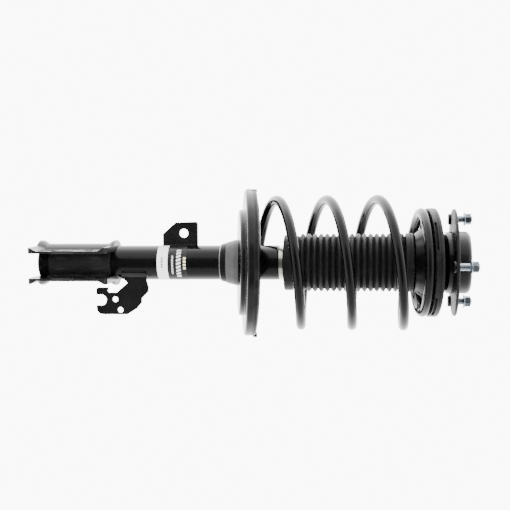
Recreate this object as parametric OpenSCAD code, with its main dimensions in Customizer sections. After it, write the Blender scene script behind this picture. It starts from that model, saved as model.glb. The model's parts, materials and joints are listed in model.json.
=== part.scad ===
// Front suspension strut assembly: a twin-tube damper, its coil spring and its top mount.
// Z runs along the strut, up towards the car's body. The origin is the middle of the stud
// circle on the mount plate's top face. The knuckle bracket's ears point towards -Y.
// The strut is drawn at full extension, which is how it is held by its spring off the car.

/* [Damper] */
// Outer diameter of the reservoir tube
tube_d = 50; // [49:0.1:51]
// Wall of the reservoir tube
tube_wall = 1.8; // [1.5:0.1:2.2]
// Height of the reservoir tube's lower end
tube_bottom_z = -604; // [-606:0.5:-603]
// Height of the reservoir tube's upper end
tube_top_z = -250; // [-252:0.5:-249]
// Diameter of the piston rod
rod_d = 22; // [20:0.5:22]
// Bore of the inner cylinder that the piston runs in
cylinder_bore_d = 32; // [30:0.5:33]
// Running clearance on radius of the rod and the piston
running_gap = 0.05; // [0.03:0.01:0.08]

/* [Spring] */
// Diameter of the spring's wire
wire_d = 14; // [13.2:0.1:14]
// Mean diameter of the spring's main coils
spring_mean_d = 180; // [178:0.5:180]
// Mean diameter of the small coil at the top
spring_top_d = 141; // [140:0.5:142]
// Rise of one main coil
spring_pitch = 72.6; // [72:0.1:73.5]

/* [Lower spring seat] */
// Outer diameter of the lower seat
lower_seat_d = 212; // [210:1:213]
// Diameter of the lower seat's sunk pan
lower_pan_d = 154; // [150:1:154]
// Slant of the lower seat about X
lower_tilt = -9.5; // [-10:0.5:-9]
// Slant of the lower seat about Y
lower_lean = 1; // [0.5:0.5:1.5]

/* [Upper spring seat] */
// Outer diameter of the upper seat
upper_seat_d = 155; // [153:1:156]
// Slant of the upper seat's brim about X
upper_tilt = -6.5; // [-7:0.5:-6]

/* [Top mount] */
// Outer diameter of the mount plate
plate_d = 152; // [151:1:156]
// Thickness of the mount plate
plate_t = 4; // [3.5:0.1:4.2]
// Outer diameter of the cup pressed into the mount plate
cup_d = 88; // [87:0.5:88]
// Height of the cup above the plate
cup_h = 20; // [20:0.5:21]
// Diameter of the circle that the studs stand on
stud_circle_d = 138; // [136:0.5:140]
// Diameter of a stud's plain shank
stud_d = 10; // [9.8:0.1:10]
// Length of a stud above the plate
stud_len = 26.5; // [26:0.5:28]
// Number of bearing balls
ball_count = 24; // [20:1:26]

/* [Knuckle bracket] */
// Thickness of the bracket's sheet
bracket_t = 3.2; // [3:0.1:3.4]
// Width over the bracket's two ears
ears_w = 42; // [41:0.5:43]
// Reach of the ears from the strut's axis
ears_reach = 65; // [63:0.5:66]
// Distance between the two knuckle bolts
knuckle_pitch = 54; // [52:0.5:56]
// Diameter of a knuckle bolt hole
knuckle_hole_d = 17; // [16:0.1:17.5]

/* [Brackets on the tube] */
// Diameter of the stabilizer link's hole
link_hole_d = 13; // [12.2:0.1:13.5]
// Diameter of the hose bracket's two holes
hose_hole_d = 8.4; // [8:0.1:8.6]
// Width of the hose bracket's open notch
hose_notch_w = 16; // [15:0.5:16]

/* [Hidden] */

fine = 96;
weld_gap = 0.05;
tube_r = tube_d / 2;
rod_r = rod_d / 2;
bore_r = cylinder_bore_d / 2;
wire_r = wire_d / 2;
cylinder_wall = 1.5;
stud_r = stud_d / 2;
cup_r = cup_d / 2;

// Colours
paint_black = [0.07, 0.07, 0.08];
rubber_black = [0.1, 0.1, 0.1];
steel_bright = [0.78, 0.78, 0.76];
zinc = [0.72, 0.76, 0.82];
sintered = [0.45, 0.45, 0.43];

// ---- helpers ----------------------------------------------------------------------------

// A ring between two radii and two heights
module ring(r_in, r_out, z_low, z_high) {
    translate([0, 0, z_low])
        difference() {
            cylinder(r = r_out, h = z_high - z_low, $fn = fine);
            translate([0, 0, -1])
                cylinder(r = r_in, h = z_high - z_low + 2, $fn = fine);
        }
}

// A round bar between two heights
module bar(r, z_low, z_high) {
    translate([0, 0, z_low])
        cylinder(r = r, h = z_high - z_low, $fn = fine);
}

// Points of an arc in the (radius, height) plane
function arc(centre, r, from, to, steps = 8) =
    [for (i = [0 : steps])
        centre + r * [cos(from + (to - from) * i / steps), sin(from + (to - from) * i / steps)]];

// One of the three places on the stud circle
module at_studs() {
    for (k = [0 : 2])
        rotate([0, 0, first_stud_angle + 120 * k])
            translate([stud_circle_d / 2, 0, 0])
                children();
}

first_stud_angle = -89.5;

// Everything that stands square on the slanted lower seat
module on_lower_seat() {
    translate([0, 0, lower_seat_z])
        rotate([lower_tilt, lower_lean, 0])
            children();
}

// Everything that stands square on the upper seat's slanted spring side
module on_upper_seat() {
    translate([0, 0, upper_seat_z])
        rotate([upper_tilt, 0, 0])
            children();
}

lower_seat_z = -299;
upper_seat_z = -38;

// ---- top mount --------------------------------------------------------------------------

cup_wall = 3;
cup_edge_r = 7.5;
cup_mouth_r = 24;
plate_edge_r = 1.6;

// Flat round plate that bolts to the car, with three stud holes
module mount_plate() {
    plate_r = plate_d / 2;
    profile = concat(
        arc([plate_r - plate_edge_r, -plate_t + plate_edge_r], plate_edge_r, -90, 0),
        arc([plate_r - plate_edge_r, -plate_edge_r], plate_edge_r, 0, 90),
        [[cup_r + weld_gap, 0], [cup_r + weld_gap, -plate_t]]);
    color(paint_black)
        difference() {
            rotate_extrude($fn = fine)
                polygon(profile);
            at_studs()
                bar(stud_knurl_r + 0.01, -plate_t - 1, 1);
        }
}

// Deep-drawn cup that stands up through the plate
module mount_cup() {
    profile = concat(
        [[cup_r, -plate_t]],
        arc([cup_r - cup_edge_r, cup_h - cup_edge_r], cup_edge_r, 0, 90),
        [[cup_mouth_r, cup_h], [cup_mouth_r, cup_h - cup_wall]],
        arc([cup_r - cup_edge_r, cup_h - cup_edge_r], cup_edge_r - cup_wall, 90, 0),
        [[cup_r - cup_wall, -plate_t]]);
    color(paint_black)
        rotate_extrude($fn = fine)
            polygon(profile);
}

rubber_outer_r = cup_r - cup_wall;
sleeve_outer_r = 16;
sleeve_top_z = 9;
sleeve_flange_r = 27;
shell_bottom_z = -19;

// Rubber block bonded between the cup and the inner sleeve
module mount_rubber() {
    profile = concat(
        [[sleeve_outer_r, -12]],
        arc([29, -14], 7, 165, 15),
        [[rubber_outer_r, -11], [rubber_outer_r, 11], [rubber_outer_r - 2, 14.5]],
        [[33, 16]],
        arc([29, 15.5], 3.5, 0, -180),
        [[24.5, 8], [sleeve_outer_r, 8]]);
    color(rubber_black)
        difference() {
            rotate_extrude($fn = fine)
                polygon(profile);
            ring(0, sleeve_flange_r, -3, 0);
        }
}

// Inner sleeve that the rod is clamped in, with a flange buried in the rubber
module mount_sleeve() {
    color(steel_bright) {
        difference() {
            union() {
                bar(sleeve_outer_r, -14, sleeve_top_z);
                bar(sleeve_flange_r, -3, 0);
            }
            bar(rod_thread_r + running_gap, -15, sleeve_top_z + 1);
        }
    }
}

// Pressed shell that closes the mount from below and carries the bearing
module mount_lower_shell() {
    outer = cup_r;
    wall = 2.5;
    edge = 10;
    mouth = 29;
    profile = concat(
        arc([outer - edge, shell_bottom_z + edge], edge, -90, 0),
        [[outer, -plate_t], [outer - wall, -plate_t]],
        arc([outer - edge, shell_bottom_z + edge], edge - wall, 0, -90),
        [[mouth, shell_bottom_z + wall], [mouth, shell_bottom_z]]);
    color(paint_black)
        rotate_extrude($fn = fine)
            polygon(profile);
}

stud_head_r = 8;
stud_head_t = 4;
stud_knurl_r = stud_r + 0.5;
stud_shank_top = 13.5;
stud_thread_r = stud_r - 0.15;
stud_tip = 1.2;

// Three studs pressed into the plate, with their heads underneath
module mount_studs() {
    color(zinc)
        at_studs() {
            bar(stud_head_r, -plate_t - stud_head_t, -plate_t);
            bar(stud_knurl_r, -plate_t, 0);
            bar(stud_r, 0, stud_shank_top);
            bar(stud_thread_r, stud_shank_top, stud_len - stud_tip);
            translate([0, 0, stud_len - stud_tip])
                cylinder(r1 = stud_thread_r, r2 = stud_thread_r - stud_tip, h = stud_tip, $fn = fine);
        }
}

nut_bottom_z = 14.5;
nut_flange_r = 10;
nut_flange_t = 2.5;
nut_hex_r = 14 / sqrt(3);
nut_top_z = 25;

// Three flange nuts, run on to the ends of the studs
module stud_nuts() {
    color(zinc)
        at_studs()
            difference() {
                union() {
                    bar(nut_flange_r, nut_bottom_z, nut_bottom_z + nut_flange_t);
                    translate([0, 0, nut_bottom_z + nut_flange_t])
                        cylinder(r = nut_hex_r, h = nut_top_z - nut_bottom_z - nut_flange_t, $fn = 6);
                }
                bar(stud_thread_r + weld_gap, nut_bottom_z - 1, nut_top_z + 1);
            }
}

rod_thread_r = 7;
washer_t = 2.5;
washer_r = 20;
rod_nut_h = 7;

// Dished washer under the rod's nut
module rod_washer() {
    color(steel_bright)
        ring(rod_thread_r + running_gap, washer_r, sleeve_top_z, sleeve_top_z + washer_t);
}

// Nut that clamps the rod in the mount
module rod_nut() {
    z = sleeve_top_z + washer_t;
    color(zinc)
        difference() {
            translate([0, 0, z])
                cylinder(r = 21 / sqrt(3), h = rod_nut_h, $fn = 6);
            bar(rod_thread_r + running_gap, z - 1, z + rod_nut_h + 1);
        }
}

// ---- strut bearing ----------------------------------------------------------------------

ball_r = 2.5;
ball_circle_r = 36;
ball_z = -23.6;
groove_r = ball_r + 0.05;
race_in_r = 30.5;
race_out_r = 41;
race_half_gap = 1;
cage_t = 1.2;

module ball_groove() {
    rotate_extrude($fn = fine)
        translate([ball_circle_r, ball_z])
            circle(r = groove_r, $fn = 48);
}

// Race that stays with the mount
module bearing_upper_race() {
    color(steel_bright)
        difference() {
            ring(race_in_r, race_out_r, ball_z + race_half_gap, shell_bottom_z);
            ball_groove();
        }
}

// Race that turns with the upper spring seat
module bearing_lower_race() {
    color(steel_bright)
        difference() {
            ring(race_in_r, race_out_r, race_floor_z, ball_z - race_half_gap);
            ball_groove();
        }
}

race_floor_z = -28.6;

module at_balls() {
    for (k = [0 : ball_count - 1])
        rotate([0, 0, 360 * k / ball_count])
            translate([ball_circle_r, 0, ball_z])
                children();
}

// Thin ring that keeps the balls apart
module bearing_cage() {
    color("tan")
        difference() {
            ring(32.2, 39.8, ball_z - cage_t / 2, ball_z + cage_t / 2);
            at_balls()
                translate([0, 0, -cage_t])
                    cylinder(r = ball_r + 0.1, h = 2 * cage_t, $fn = 24);
        }
}

module bearing_balls() {
    color(steel_bright)
        at_balls()
            sphere(r = ball_r, $fn = 24);
}

// ---- upper spring seat ------------------------------------------------------------------

seat_t = 2.8;
neck_r = 37;
neck_z = -58;
seat_bore_r = 14;
cone_top_r = 53;
seat_top_z = -24;
upper_seat_r = upper_seat_d / 2;

// Funnel-shaped stamping: neck, cone and bearing cup, with a slanted brim that the spring pushes on
module upper_spring_seat() {
    cup_top_r = cone_top_r + 1;
    core = [
        [neck_r, neck_z], [neck_r + seat_t, neck_z - 0.6],
        [cup_top_r, upper_seat_z - 5], [cup_top_r, seat_top_z],
        [race_out_r + 0.4, seat_top_z], [race_out_r + 0.4, race_floor_z], [seat_bore_r, race_floor_z],
        [seat_bore_r, race_floor_z - seat_t], [cup_top_r - seat_t, race_floor_z - seat_t],
        [cup_top_r - seat_t, upper_seat_z - 5]];
    brim = [
        [cone_top_r - 3, 0], [cone_top_r - 3, seat_t],
        [brim_r - seat_t, seat_t], [brim_r - seat_t, brim_rim_h], [brim_r, brim_rim_h],
        [brim_r, 0]];
    color(paint_black)
        union() {
            rotate_extrude($fn = fine)
                polygon(core);
            on_upper_seat()
                rotate_extrude($fn = fine)
                    polygon(brim);
        }
}

brim_r = upper_seat_r - 4;
brim_bend_r = 58;
brim_rim_h = 7;

// Rubber ring between the spring's top coil and the upper seat, wrapped over the brim's rim
module upper_insulator() {
    r_mid = spring_top_d / 2;
    outer = upper_seat_r - 0.2;
    top = brim_rim_h + 3;
    profile = [
        [cone_top_r + 1.9, -upper_rubber_t - 2.6], [r_mid - wire_r - 0.5, -upper_rubber_t - 2.6],
        [r_mid - wire_r + 2, -upper_rubber_t], [outer - 1.4, -upper_rubber_t],
        [outer, -upper_rubber_t + 1],
        [outer, top - 2], [outer - 2, top], [brim_r - seat_t - 0.3, top],
        [brim_r - seat_t - 0.3, brim_rim_h + 0.3], [brim_r + 0.3, brim_rim_h + 0.3],
        [brim_r + 0.3, -0.3], [brim_bend_r, -0.3], [cone_top_r + 1.9, -2.9]];
    color(rubber_black)
        on_upper_seat()
            rotate_extrude($fn = fine)
                polygon(profile);
}

// ---- coil spring ------------------------------------------------------------------------

rubber_floor_t = 1.4;
upper_rubber_t = 2.5;
wire_gap = 0.4;
wire_low_z = lower_seat_z + rubber_floor_t + wire_gap + wire_r;
wire_high_z = upper_seat_z - upper_rubber_t - wire_gap - wire_r;
touch_angle = 4;
low_tip_angle = -250;
high_tip_angle = 1500;
leave_angle = touch_angle + (wire_high_z - wire_low_z) * 360 / spring_pitch;
pigtail_start = 1080;
pigtail_span = 155;
bend_half = 26;
extra_slant = 0.05;
ring_step = 11.25;
wire_sides = 12;
spring_rings = round((high_tip_angle - low_tip_angle) / ring_step);

// A straight climb with rounded corners: 0 before -w, u after w
function eased(u, w) = u <= -w ? 0 : u >= w ? u : (u + w) * (u + w) / (4 * w);
// A smooth step from 0 to 1
function smooth(t) = let (c = min(1, max(0, t))) c * c * (3 - 2 * c);

// Share of the way from the lower coil to the upper coil
function climb(a) =
    (eased(a - touch_angle, bend_half) - eased(a - leave_angle, bend_half))
        / (leave_angle - touch_angle);
function coil_r(a) =
    spring_mean_d / 2
        - (spring_mean_d - spring_top_d) / 2 * smooth((a - pigtail_start) / pigtail_span);
// The wire's centre line: a helix whose end coils lie in the planes of the two seats, and whose
// lower coils lean a little further than the seat once they leave it
function wire_point(a) =
    let (s = climb(a),
         x = coil_r(a) * cos(a),
         y = coil_r(a) * sin(a),
         slant_y = tan(lower_tilt) * (1 - s) + tan(upper_tilt) * s
             - extra_slant * smooth((a - touch_angle) / 100) * (1 - s),
         slant_x = -tan(lower_lean) * (1 - s))
    [x, y, wire_low_z * (1 - s) + wire_high_z * s + y * slant_y + x * slant_x];

function unit(v) = v / norm(v);
function wire_ring(a) =
    let (p = wire_point(a),
         t = unit(wire_point(a + 0.5) - wire_point(a - 0.5)),
         n = unit([cos(a), sin(a), 0] - ([cos(a), sin(a), 0] * t) * t),
         b = cross(t, n))
    [for (k = [0 : wire_sides - 1])
        p + wire_r * (cos(360 * k / wire_sides) * n + sin(360 * k / wire_sides) * b)];

// Closed sweep of a round wire along the helix
module coil_spring() {
    points = [for (i = [0 : spring_rings])
                 each wire_ring(low_tip_angle + i * (high_tip_angle - low_tip_angle) / spring_rings)];
    last = spring_rings * wire_sides;
    sides = [for (i = [0 : spring_rings - 1], k = [0 : wire_sides - 1])
                let (a = i * wire_sides + k, b = i * wire_sides + (k + 1) % wire_sides)
                [a, b, b + wire_sides, a + wire_sides]];
    caps = [[for (k = [wire_sides - 1 : -1 : 0]) k], [for (k = [0 : wire_sides - 1]) last + k]];
    color(paint_black)
        polyhedron(points = points, faces = concat(sides, caps));
}

// ---- dust boot and bump stop ------------------------------------------------------------

boot_top_z = -59;
boot_bottom_z = -242.5;
boot_out_r = 42;
boot_in_r = 37.5;
boot_wall = 1.6;
fold_pitch = 8.8;
fold_count = 17;
folds_bottom_z = boot_top_z - 12 - fold_count * fold_pitch;

// Bellows with a plain cuff at each end
module dust_boot() {
    folds = [for (i = [0 : 2 * fold_count])
                [i % 2 == 0 ? boot_in_r : boot_out_r, folds_bottom_z + i * fold_pitch / 2]];
    outside = concat(
        [[40, boot_bottom_z], [40, boot_bottom_z + 12], [36, boot_bottom_z + 14],
         [36, folds_bottom_z - 5], [39, folds_bottom_z - 3]],
        folds,
        [[42, boot_top_z - 12], [42, boot_top_z]]);
    last = len(outside) - 1;
    inside = [for (i = [last : -1 : 0]) [outside[i].x - boot_wall, outside[i].y]];
    color(rubber_black)
        rotate_extrude($fn = fine)
            polygon(concat(outside, inside));
}

bump_top_z = race_floor_z - seat_t;
bump_len = 70;

// Foam buffer round the rod, waisted twice, that ends the bump travel
module bump_stop() {
    waist = 3;
    r = 24;
    in_r = rod_r + 0.6;
    step = bump_len / 6;
    outside = [[r - 6, 0], [r - 4, step * 0.5], [r - 2, step], [r - 2 - waist, step * 2], [r, step * 3],
               [r - waist, step * 4], [r + 1, step * 5], [r + 1, step * 6]];
    color("wheat")
        translate([0, 0, bump_top_z - bump_len])
            rotate_extrude($fn = fine)
                polygon(concat(outside, [[in_r, bump_len], [in_r, 0]]));
}

// ---- damper -----------------------------------------------------------------------------

tube_in_r = tube_r - tube_wall;
cup_floor_z = tube_bottom_z + 4;
base_t = 3;
guide_h = 22;
guide_top_z = tube_top_z - 4;
guide_bottom_z = guide_top_z - guide_h;
cylinder_bottom_z = -587;
piston_top_z = -302;
piston_h = 24;
rebound_h = 14;

// Reservoir tube
module damper_tube() {
    color(paint_black)
        ring(tube_in_r, tube_r, tube_bottom_z, tube_top_z);
}

// Domed cup that closes the tube's lower end
module base_cup() {
    profile = concat(
        [[0, cup_floor_z], [12, cup_floor_z]],
        arc([tube_in_r - 8 - weld_gap, cup_floor_z + 8], 8, -90, 0),
        [[tube_in_r - weld_gap, cup_floor_z + 14], [tube_in_r - weld_gap - base_t, cup_floor_z + 14]],
        arc([tube_in_r - 8 - weld_gap, cup_floor_z + 8], 8 - base_t, 0, -90),
        [[0, cup_floor_z + base_t]]);
    color(paint_black)
        rotate_extrude($fn = fine)
            polygon(profile);
}

// Tube that the piston runs in
module inner_cylinder() {
    color(steel_bright)
        ring(bore_r, bore_r + cylinder_wall, cylinder_bottom_z, guide_bottom_z + 6);
}

// Foot valve between the inner cylinder and the reservoir
module base_valve() {
    color(sintered)
        difference() {
            union() {
                bar(bore_r - weld_gap, cylinder_bottom_z, cylinder_bottom_z + 12);
                bar(bore_r + 3, cylinder_bottom_z - 6, cylinder_bottom_z);
            }
            bar(3, cylinder_bottom_z - 7, cylinder_bottom_z + 13);
            for (a = [0 : 60 : 300])
                rotate([0, 0, a])
                    translate([10, 0, cylinder_bottom_z - 7])
                        cylinder(r = 1.8, h = 20, $fn = 24);
        }
}

// Bush that the rod slides in, at the top of both tubes
module rod_guide() {
    color(sintered)
        difference() {
            union() {
                bar(tube_in_r - weld_gap, guide_bottom_z + 6, guide_top_z);
                bar(bore_r - weld_gap, guide_bottom_z, guide_bottom_z + 6);
            }
            bar(rod_r + running_gap, guide_bottom_z - 1, guide_top_z + 1);
        }
}

// Lip seal above the guide
module rod_seal() {
    profile = [[rod_r + running_gap, guide_top_z + 2.6], [rod_r + running_gap, guide_top_z + 3.4],
               [14, guide_top_z + 6.5], [19, guide_top_z + 6.5], [19, guide_top_z],
               [14.5, guide_top_z]];
    color(rubber_black)
        rotate_extrude($fn = fine)
            polygon(profile);
}

cap_top_z = tube_top_z + 7.5;

// Turned metal cap that closes the damper round the rod
module gland_cap() {
    mouth = rod_r + 2;
    profile = [[19.2, guide_top_z], [19.2, cap_top_z - 3], [mouth, cap_top_z - 3], [mouth, cap_top_z],
               [tube_r - 2, cap_top_z], [tube_r - 0.3, cap_top_z - 1.7], [tube_r - 0.3, tube_top_z],
               [tube_in_r - weld_gap, tube_top_z], [tube_in_r - weld_gap, guide_top_z]];
    color(steel_bright)
        rotate_extrude($fn = fine)
            polygon(profile);
}

rod_shoulder_z = -14;
rod_bottom_z = piston_top_z;

// Ground rod with a threaded spigot at each end
module piston_rod() {
    spigot_r = 6;
    color(steel_bright)
        union() {
            bar(rod_r, rod_bottom_z, rod_shoulder_z);
            bar(rod_thread_r, rod_shoulder_z, sleeve_top_z + washer_t + rod_nut_h + 0.8);
            bar(spigot_r, piston_top_z - piston_h - 12, rod_bottom_z);
        }
}

// Elastic ring that meets the guide when the strut is fully extended
module rebound_stop() {
    color(rubber_black)
        ring(rod_r + weld_gap, bore_r - 0.8, guide_bottom_z - 0.5 - rebound_h, guide_bottom_z - 0.5);
}

groove_depth = 1.2;
band_h = 14;

// Piston, clamped on the rod's lower spigot
module piston() {
    mid = piston_top_z - piston_h / 2;
    color(sintered)
        difference() {
            bar(bore_r - 0.3, piston_top_z - piston_h, piston_top_z);
            ring(bore_r - 0.3 - groove_depth, bore_r + 1, mid - band_h / 2, mid + band_h / 2);
            bar(6 + weld_gap, piston_top_z - piston_h - 1, piston_top_z + 1);
            for (a = [0 : 45 : 315])
                rotate([0, 0, a])
                    translate([10.6, 0, piston_top_z - piston_h - 1])
                        cylinder(r = 1.5, h = piston_h + 2, $fn = 24);
        }
}

// Low-friction band in the piston's groove
module piston_band() {
    mid = piston_top_z - piston_h / 2;
    color([0.25, 0.3, 0.25])
        ring(bore_r - 0.3 - groove_depth + weld_gap, bore_r - running_gap,
             mid - band_h / 2 + weld_gap, mid + band_h / 2 - weld_gap);
}

// Nut under the piston
module piston_nut() {
    z = piston_top_z - piston_h;
    color(steel_bright)
        difference() {
            translate([0, 0, z - 9])
                cylinder(r = 19 / sqrt(3), h = 9, $fn = 6);
            bar(6 + weld_gap, z - 10, z + 1);
        }
}

// ---- lower spring seat ------------------------------------------------------------------

lower_seat_r = lower_seat_d / 2;
pan_r = lower_pan_d / 2;
pan_depth = 11;
hub_r = 32;
rim_h = 7;

// Round seat: sunk pan, flange under the spring and an upturned rim
module lower_spring_seat() {
    t = 3;
    profile = concat(
        [[20, -pan_depth], [pan_r - 3, -pan_depth]],
        arc([pan_r - 4, -pan_depth + 4], 4, -60, 0, 5),
        [[pan_r, -4], [pan_r + 3, -t]],
        arc([lower_seat_r - 4, 1], 4, -90, 0, 6),
        [[lower_seat_r, rim_h], [lower_seat_r - t, rim_h]],
        [[lower_seat_r - t, 1.5], [lower_seat_r - t - 1.5, 0]],
        [[pan_r + 1, 0], [pan_r - t + 0.5, -2.5]],
        [[pan_r - t, -pan_depth + t + 1.5], [pan_r - t - 1.5, -pan_depth + t], [20, -pan_depth + t]]);
    color(paint_black)
        difference() {
            on_lower_seat()
                rotate_extrude($fn = fine)
                    polygon(profile);
            bar(tube_r + weld_gap, lower_seat_z - 60, lower_seat_z + 60);
        }
}

collar_low_z = -335.5;

// Tapered collar that carries the seat on the tube, cut to the slant of the seat's pan
module seat_collar() {
    profile = [
        [tube_r + weld_gap, collar_low_z], [26.4, collar_low_z], [26.9, collar_low_z + 1.5],
        [29.9, collar_low_z + 7.5], [33.4, collar_low_z + 24], [33.4, lower_seat_z],
        [tube_r + weld_gap, lower_seat_z]];
    color(paint_black)
        difference() {
            rotate_extrude($fn = fine)
                polygon(profile);
            on_lower_seat()
                translate([0, 0, -pan_depth])
                    cylinder(r = pan_r, h = 40, $fn = fine);
        }
}

// Rubber ring in the lower seat, with a lug over the rim on each side
module lower_insulator() {
    r_mid = spring_mean_d / 2;
    lip_z = 13.5;
    lip_r = r_mid + wire_r + 4.4;
    profile = [
        [pan_r + 2, 0], [lower_seat_r - 4.7, 0], [lower_seat_r - 3.1, 1.7],
        [lower_seat_r - 3.1, rim_h + 0.1], [lower_seat_r - 0.3, rim_h + 0.1], [lower_seat_r - 0.3, lip_z - 2],
        [lower_seat_r - 2.5, lip_z], [lip_r, lip_z], [lip_r - 1, 6],
        [r_mid + 7.2, rubber_floor_t], [r_mid - 5, rubber_floor_t],
        [r_mid - wire_r - 1.2, 5], [pan_r + 3, 5], [pan_r + 2, 4]];
    color(rubber_black)
        on_lower_seat()
            union() {
                rotate_extrude($fn = fine)
                    polygon(profile);
                rotate([0, 0, -6])
                    rotate_extrude(angle = 13, $fn = fine)
                        translate([lip_r + 1, lip_z - 3])
                            square([lower_seat_r + 2.5 - lip_r - 1, 6]);
                rotate([0, 0, 174])
                    rotate_extrude(angle = 12, $fn = fine)
                        translate([lip_r + 1, rim_h + 0.5])
                            square([lower_seat_r + 1.2 - lip_r - 1, 7]);
            }
}

// ---- brackets on the tube ---------------------------------------------------------------

bracket_low_z = -605.5;
bracket_high_z = -490;
bracket_mid_z = (bracket_low_z + bracket_high_z) / 2;
knuckle_hole_y = -46;
lip_out = 5;
lip_t = 4;
lip_len = 13;

// Keyhole outline of the wrap and its two ears
module wrap_outline() {
    circle(r = tube_r + bracket_t, $fn = fine);
    translate([-ears_w / 2, -ears_reach])
        square([ears_w, ears_reach]);
}

// Cross-section of the lip that flares out at the bracket's ends, from an inner wall outwards
function lip_section(wall) =
    [[wall - bracket_t + 0.5, 0], [wall + lip_out, 0], [wall + lip_out, lip_t], [wall, lip_len],
     [wall - bracket_t + 0.5, lip_len]];

// Flared lip of the lower end: a ring on the wrap and a strip along each ear
module wrap_lip() {
    rotate_extrude($fn = fine)
        polygon(lip_section(tube_r + bracket_t));
    for (side = [0, 1])
        mirror([side, 0, 0])
            rotate([90, 0, 0])
                linear_extrude(ears_reach)
                    polygon(lip_section(ears_w / 2));
}

// Hollow that the tube and the knuckle lie in
module wrap_hollow() {
    circle(r = tube_r + weld_gap, $fn = fine);
    translate([-ears_w / 2 + bracket_t, -ears_reach - 1])
        square([ears_w - 2 * bracket_t, ears_reach + 1]);
}

// Rounds the free corners of the ears, seen along X
module ear_corners(r) {
    translate([-ears_w, -ears_reach, bracket_low_z])
        for (end = [0, 1])
            translate([0, 0, end * (bracket_high_z - bracket_low_z)])
                mirror([0, 0, end])
                    rotate([90, 0, 90])
                        linear_extrude(2 * ears_w)
                            difference() {
                                translate([-1, -1])
                                    square(r + 1);
                                translate([r, r])
                                    circle(r = r, $fn = 64);
                            }
}

module knuckle_holes() {
    for (s = [-0.5, 0.5])
        translate([0, knuckle_hole_y, bracket_mid_z + s * knuckle_pitch])
            rotate([0, 90, 0])
                cylinder(r = knuckle_hole_d / 2, h = 3 * ears_w, center = true, $fn = fine);
}

// Clevis wrapped round the tube, with outward lips at both ends
module knuckle_bracket() {
    color(paint_black)
        difference() {
            union() {
                translate([0, 0, bracket_low_z])
                    linear_extrude(bracket_high_z - bracket_low_z)
                        wrap_outline();
                translate([0, 0, bracket_low_z])
                    wrap_lip();
                translate([0, 0, bracket_high_z])
                    mirror([0, 0, 1])
                        wrap_lip();
            }
            translate([0, 0, bracket_low_z - 1])
                linear_extrude(bracket_high_z - bracket_low_z + 2)
                    wrap_hollow();
            ear_corners(6);
            knuckle_holes();
        }
}

saddle_t = 2.6;
saddle_low_z = -586;
saddle_high_z = -495;

// Stiffener between the ears: a saddle on the tube with a leg along each ear
module bracket_saddle() {
    inner_w = ears_w - 2 * bracket_t - 2 * weld_gap;
    leg_end = -34;
    color(paint_black)
        translate([0, 0, saddle_low_z])
            linear_extrude(saddle_high_z - saddle_low_z)
                difference() {
                    intersection() {
                        union() {
                            circle(r = tube_r + saddle_t, $fn = fine);
                            for (side = [-1, 1])
                                translate([side * (inner_w - saddle_t) / 2 - saddle_t / 2, leg_end])
                                    square([saddle_t, -leg_end]);
                        }
                        translate([-inner_w / 2, leg_end])
                            square([inner_w, 20]);
                    }
                    circle(r = tube_r + weld_gap, $fn = fine);
                }
}

tab_low_z = -421;
tab_high_z = -369.5;
tab_reach = 59.6;
tab_t = 5;
link_hole_x = -43;
link_hole_z = -390;

// Ear for the stabilizer link
module stabilizer_tab() {
    corner = 3;
    color(paint_black)
        difference() {
            translate([0, tab_t / 2, 0])
                rotate([90, 0, 0])
                    linear_extrude(tab_t)
                        polygon(concat(
                            [[-20, tab_low_z], [-42, tab_low_z], [-tab_reach + 1, tab_low_z + 19]],
                            arc([-tab_reach + corner, tab_high_z - corner], corner, 180, 90, 6),
                            [[-tab_reach + 12, tab_high_z], [-20, tab_high_z]]));
            translate([link_hole_x, 0, link_hole_z])
                rotate([90, 0, 0])
                    cylinder(r = link_hole_d / 2, h = 4 * tab_t, center = true, $fn = fine);
            bar(tube_r + weld_gap, tab_low_z - 1, tab_high_z + 1);
        }
}

hose_t = 3;
hose_y = -20;
hose_hole_low = [52.3, -489.4];
hose_hole_high = [67.8, -482];
hose_notch = [53.3, -510.4];
foot_low_z = -479;
foot_high_z = -443;

// Flat outline of the hose bracket, as [distance from the axis, height]
module hose_outline() {
    difference() {
        polygon(concat(
            [[18, -485.3], [22, -476.5], [28, -470.9], [42.5, -487.4], [42.5, -499], [40, -501]],
            [[35, -499]],
            arc([38.2, -514.3], 3.2, 180, 270, 5),
            arc([65.1, -508.2], 9.3, -90, -5, 6),
            [[74.3, -471.4], [65.3, -457.4], [57, -450.2], [51, -450.2], [47.5, -447.1]],
            [[41, -440.4], [34, -439.7], [25.5, -442.4], [18, foot_high_z]]));
        translate(hose_notch) {
            circle(r = hose_notch_w / 2, $fn = fine);
            translate([-hose_notch_w / 2, -20])
                square([hose_notch_w, 20]);
        }
        translate(hose_hole_low)
            circle(r = hose_hole_d / 2, $fn = fine);
        translate(hose_hole_high)
            circle(r = hose_hole_d / 2, $fn = fine);
    }
}

// Plate that holds the brake hose and the sensor lead, with a foot that hugs the tube
module hose_bracket() {
    color(paint_black)
        union() {
            difference() {
                translate([0, hose_y + hose_t, 0])
                    rotate([90, 0, 0])
                        linear_extrude(hose_t)
                            hose_outline();
                bar(tube_r + weld_gap, -530, -430);
            }
            translate([0, 0, foot_low_z])
                rotate([0, 0, -62])
                    rotate_extrude(angle = 20, $fn = fine)
                        translate([tube_r + weld_gap, 0])
                            square([hose_t, foot_high_z - foot_low_z]);
        }
}

label_t = 0.15;

// A sticker wrapped round the tube between two heights, clear of the stabilizer tab
module sticker(z_low, z_high, gap) {
    difference() {
        ring(tube_r + 0.005, tube_r + label_t, z_low, z_high);
        translate([-tube_r - 5, -gap / 2, z_low - 1])
            cube([20, gap, z_high - z_low + 2]);
    }
}

// Plain paper band
module paper_label() {
    color("white")
        sticker(-426, -410.5, tab_t + 2);
}

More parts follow.
